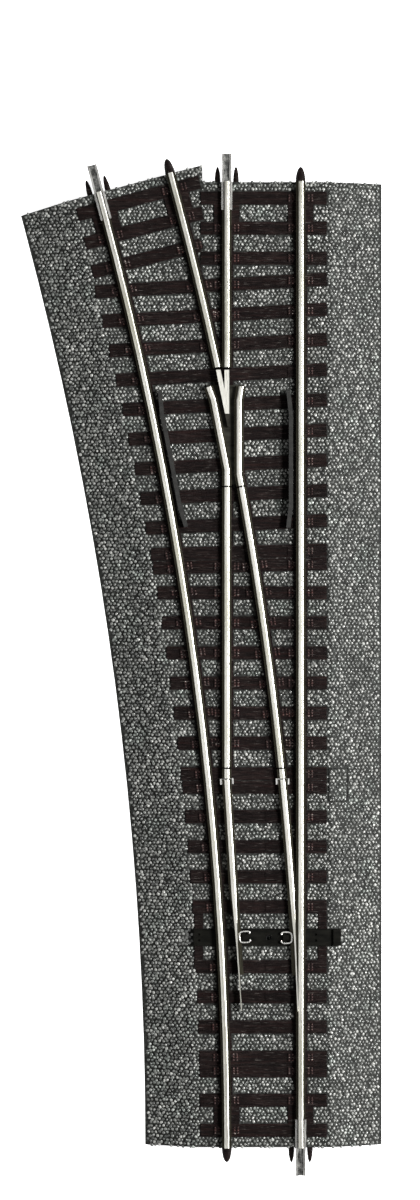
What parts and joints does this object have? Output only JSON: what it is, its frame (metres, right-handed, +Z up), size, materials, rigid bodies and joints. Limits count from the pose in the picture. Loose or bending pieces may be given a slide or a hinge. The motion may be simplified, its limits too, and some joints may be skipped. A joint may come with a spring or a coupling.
{
  "type": "model railway turnout",
  "caption": "Left-hand model railway turnout on a moulded ballast bed, with sleepers, switch blades worked by a sliding throwbar, a frog and guard rails.",
  "frame": {"origin": "middle of the toe end of the straight route, on the table under the bed", "axes": "+Y along the straight route from the toe towards the heel, +X to the right of it, +Z up; the other route leaves to -X"},
  "size_m": [0.0864, 0.2434, 0.0083],
  "materials": {
    "ballast": "matt, moulded stone texture",
    "sleeper_plastic": "matt dark brown with wood grain",
    "black_plastic": "satin black",
    "frog_plastic": "satin dark olive grey",
    "guard_plastic": "satin dark grey",
    "nickel_silver": "drawn nickel silver, bright on the head",
    "spring_steel": "bright stamped sheet",
    "brass": "plain stamped sheet"
  },
  "bodies": {
    "track": {"ballast_bed": "ballast", "sleeper_frame": "sleeper_plastic", "rail_chairs": "sleeper_plastic", "slide_plates": "black_plastic", "stock_rail_straight": "nickel_silver", "stock_rail_curved": "nickel_silver", "closure_rail_straight": "nickel_silver", "closure_rail_curved": "nickel_silver", "heel_stub_straight": "nickel_silver", "heel_stub_curved": "nickel_silver", "wing_rail_left": "nickel_silver", "wing_rail_right": "nickel_silver", "frog_point": "nickel_silver", "frog_floor_plate": "frog_plastic", "frog_nose_ramp": "frog_plastic", "guard_rail_left": "guard_plastic", "guard_rail_right": "guard_plastic", "heel_rail_straight": "nickel_silver", "heel_rail_curved": "nickel_silver", "rail_gap_insulators": "black_plastic", "rail_joiner_toe": "spring_steel", "rail_joiner_heel_straight": "spring_steel", "rail_joiner_heel_curved": "spring_steel", "hatch_cover": "ballast", "contact_strip_left": "brass", "contact_strip_right": "brass", "contact_strip_frog": "brass"},
    "throwbar": {"throwbar": "black_plastic"},
    "straight_blade": {"switch_blade_straight": "nickel_silver", "drive_clip_straight": "spring_steel", "hinge_saddle_straight": "spring_steel"},
    "curved_blade": {"switch_blade_curved": "nickel_silver", "drive_clip_curved": "spring_steel", "hinge_saddle_curved": "spring_steel"}
  },
  "joints": [
    {"name": "throwbar_slide", "type": "slide", "parent": "track", "child": "throwbar", "axis": [1, 0, 0], "range_m": [-0.00234, 0]},
    {"name": "straight_blade_hinge", "type": "hinge", "parent": "track", "child": "straight_blade", "pos_m": [-0.0088, 0.0872, 0.0062], "axis": [0, 0, 1], "range_deg": [-3.6, 0]},
    {"name": "curved_blade_hinge", "type": "hinge", "parent": "track", "child": "curved_blade", "pos_m": [0.00448, 0.0872, 0.0062], "axis": [0, 0, 1], "range_deg": [-3.6, 0]}
  ],
  "couplings": [
    {"joint": "straight_blade_hinge", "follows": "throwbar_slide", "rad_per_m": 26.851},
    {"joint": "curved_blade_hinge", "follows": "throwbar_slide", "rad_per_m": 26.851}
  ]
}
